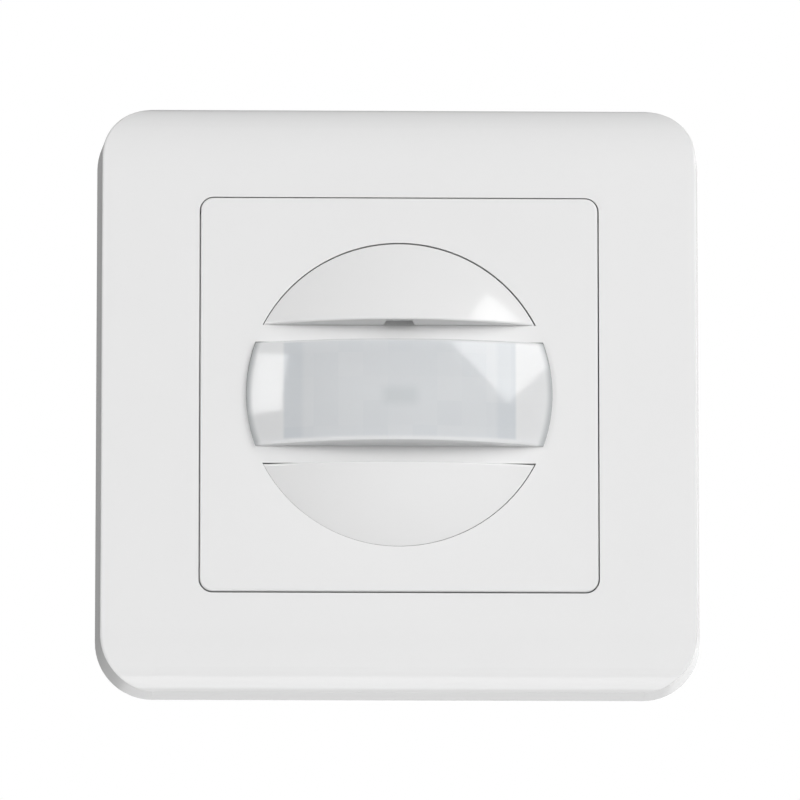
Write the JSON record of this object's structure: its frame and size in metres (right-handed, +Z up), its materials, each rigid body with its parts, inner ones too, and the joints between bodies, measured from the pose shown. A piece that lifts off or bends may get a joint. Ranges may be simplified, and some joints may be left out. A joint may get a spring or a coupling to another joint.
{
  "type": "motion sensor light switch",
  "caption": "Square flush wall switch with a low round dome: a lift-off settings cover, a translucent sensor lens band and a push button, on a strap for a round wall box.",
  "frame": {"origin": "centre of the mounting plane, midway between the two box screws, on the wall's surface", "axes": "+X to the right as seen from the room, +Z up, -Y out of the wall, +Y into the wall box"},
  "size_m": [0.084, 0.0442, 0.0826],
  "materials": {
    "white_plastic": "glossy moulded white",
    "lens_plastic": "milky translucent",
    "carrier_plastic": "moulded light grey",
    "housing_plastic": "moulded dark grey",
    "board_laminate": "green solder mask",
    "black_plastic": "moulded black",
    "trimmer_plastic": "moulded blue",
    "dial_plastic": "moulded ivory",
    "zinc_steel": "zinc plated",
    "nickel": "nickel plated",
    "brass": "bare",
    "filter_glass": "dark infrared filter",
    "clear_epoxy": "clear",
    "relay_plastic": "moulded dark blue",
    "film_plastic": "moulded yellow",
    "sleeve_film": "shrunk sleeve",
    "can_aluminium": "bare",
    "ferrite": "sintered",
    "copper_enamel": "enamelled copper",
    "varistor_coat": "dipped epoxy"
  },
  "bodies": {
    "switch_base": {"board_plug": "black_plastic", "carrier_screws": "zinc_steel", "centre_plate": "white_plastic", "choke_core": "ferrite", "choke_winding": "copper_enamel", "claw_pins": "zinc_steel", "controller_chip": "black_plastic", "cover_frame": "white_plastic", "film_capacitor": "film_plastic", "filter_capacitor": "can_aluminium", "fresnel_lens": "lens_plastic", "fuse": "black_plastic", "light_sensor": "clear_epoxy", "light_trimmer_body": "trimmer_plastic", "mode_switch_body": "black_plastic", "pir_base": "nickel", "pir_can": "nickel", "pir_window": "filter_glass", "plug_pins": "brass", "power_board": "board_laminate", "power_cover": "carrier_plastic", "power_housing": "housing_plastic", "power_socket": "black_plastic", "range_trimmer_body": "trimmer_plastic", "rectifier": "black_plastic", "relay": "relay_plastic", "sensor_board": "board_laminate", "sensor_carrier": "carrier_plastic", "status_led": "clear_epoxy", "storage_capacitor": "sleeve_film", "strap_screws": "zinc_steel", "support_strap": "zinc_steel", "tact_switch_body": "black_plastic", "terminal_bars": "brass", "terminal_block": "housing_plastic", "time_trimmer_body": "trimmer_plastic", "varistor": "varistor_coat"},
    "settings_cover": {"settings_cover": "white_plastic"},
    "manual_button": {"manual_button": "white_plastic"},
    "tact_plunger": {"tact_plunger": "dial_plastic"},
    "time_dial": {"time_dial": "dial_plastic"},
    "light_dial": {"light_dial": "dial_plastic"},
    "range_dial": {"range_dial": "dial_plastic"},
    "mode_slider": {"mode_slider": "dial_plastic"},
    "terminal_screw_1": {"terminal_screw_1": "zinc_steel"},
    "terminal_cage_1": {"terminal_cage_1": "brass"},
    "terminal_screw_2": {"terminal_screw_2": "zinc_steel"},
    "terminal_cage_2": {"terminal_cage_2": "brass"},
    "terminal_screw_3": {"terminal_screw_3": "zinc_steel"},
    "terminal_cage_3": {"terminal_cage_3": "brass"},
    "left_claw_screw": {"left_claw_screw": "zinc_steel"},
    "left_claw_nut": {"left_claw_nut": "zinc_steel"},
    "left_claw": {"left_claw": "zinc_steel"},
    "right_claw_screw": {"right_claw_screw": "zinc_steel"},
    "right_claw_nut": {"right_claw_nut": "zinc_steel"},
    "right_claw": {"right_claw": "zinc_steel"}
  },
  "joints": [
    {"name": "settings_cover_pull", "type": "slide", "parent": "switch_base", "child": "settings_cover", "axis": [0, -1, 0], "range_m": [0, 0.012]},
    {"name": "manual_button_press", "type": "slide", "parent": "switch_base", "child": "manual_button", "axis": [0, 1, 0], "range_m": [0, 0.0006], "stiffness_N_per_m": 200, "springref_m": -0.002},
    {"name": "tact_plunger_press", "type": "slide", "parent": "switch_base", "child": "tact_plunger", "axis": [0, 1, 0], "range_m": [0, 0.0006]},
    {"name": "mode_slider_slide", "type": "slide", "parent": "switch_base", "child": "mode_slider", "axis": [1, 0, 0], "range_m": [-0.0019, 0.0019]},
    {"name": "time_dial_turn", "type": "hinge", "parent": "switch_base", "child": "time_dial", "pos_m": [-0.0096, -0.009, 0.01395], "axis": [0, -1, 0], "range_deg": [-135, 135]},
    {"name": "light_dial_turn", "type": "hinge", "parent": "switch_base", "child": "light_dial", "pos_m": [0, -0.009, 0.01395], "axis": [0, -1, 0], "range_deg": [-135, 135]},
    {"name": "range_dial_turn", "type": "hinge", "parent": "switch_base", "child": "range_dial", "pos_m": [0.0096, -0.009, 0.01395], "axis": [0, -1, 0], "range_deg": [-135, 135]},
    {"name": "terminal_cage_1_clamp", "type": "slide", "parent": "switch_base", "child": "terminal_cage_1", "axis": [0, 0, -1], "range_m": [0, 0.0016]},
    {"name": "terminal_screw_1_turn", "type": "hinge", "parent": "switch_base", "child": "terminal_screw_1", "pos_m": [-0.0076, 0.0206, -0.018], "axis": [0, 0, 1], "range_deg": [0, 1152.02]},
    {"name": "terminal_cage_2_clamp", "type": "slide", "parent": "switch_base", "child": "terminal_cage_2", "axis": [0, 0, -1], "range_m": [0, 0.0016]},
    {"name": "terminal_screw_2_turn", "type": "hinge", "parent": "switch_base", "child": "terminal_screw_2", "pos_m": [0, 0.0206, -0.018], "axis": [0, 0, 1], "range_deg": [0, 1152.02]},
    {"name": "terminal_cage_3_clamp", "type": "slide", "parent": "switch_base", "child": "terminal_cage_3", "axis": [0, 0, -1], "range_m": [0, 0.0016]},
    {"name": "terminal_screw_3_turn", "type": "hinge", "parent": "switch_base", "child": "terminal_screw_3", "pos_m": [0.0076, 0.0206, -0.018], "axis": [0, 0, 1], "range_deg": [0, 1152.02]},
    {"name": "left_claw_nut_draw", "type": "slide", "parent": "switch_base", "child": "left_claw_nut", "axis": [0, -1, 0], "range_m": [0, 0.0022]},
    {"name": "left_claw_screw_turn", "type": "hinge", "parent": "switch_base", "child": "left_claw_screw", "pos_m": [-0.027, 0, 0], "axis": [0, 1, 0], "range_deg": [0, 1584.02]},
    {"name": "left_claw_swing", "type": "hinge", "parent": "switch_base", "child": "left_claw", "pos_m": [-0.0224, 0.0032, 0], "axis": [0, 0, 1], "range_deg": [0, 25.01]},
    {"name": "right_claw_nut_draw", "type": "slide", "parent": "switch_base", "child": "right_claw_nut", "axis": [0, -1, 0], "range_m": [0, 0.0022]},
    {"name": "right_claw_screw_turn", "type": "hinge", "parent": "switch_base", "child": "right_claw_screw", "pos_m": [0.027, 0, 0], "axis": [0, 1, 0], "range_deg": [0, 1584.02]},
    {"name": "right_claw_swing", "type": "hinge", "parent": "switch_base", "child": "right_claw", "pos_m": [0.0224, 0.0032, 0], "axis": [0, 0, -1], "range_deg": [0, 25.01]}
  ],
  "couplings": [
    {"joint": "tact_plunger_press", "follows": "manual_button_press", "ratio": 1},
    {"joint": "terminal_screw_1_turn", "follows": "terminal_cage_1_clamp", "rad_per_m": 12566},
    {"joint": "terminal_screw_2_turn", "follows": "terminal_cage_2_clamp", "rad_per_m": 12566},
    {"joint": "terminal_screw_3_turn", "follows": "terminal_cage_3_clamp", "rad_per_m": 12566},
    {"joint": "left_claw_screw_turn", "follows": "left_claw_nut_draw", "rad_per_m": 12566},
    {"joint": "left_claw_swing", "follows": "left_claw_nut_draw", "rad_per_m": 198.33},
    {"joint": "right_claw_screw_turn", "follows": "right_claw_nut_draw", "rad_per_m": 12566},
    {"joint": "right_claw_swing", "follows": "right_claw_nut_draw", "rad_per_m": 198.33}
  ]
}
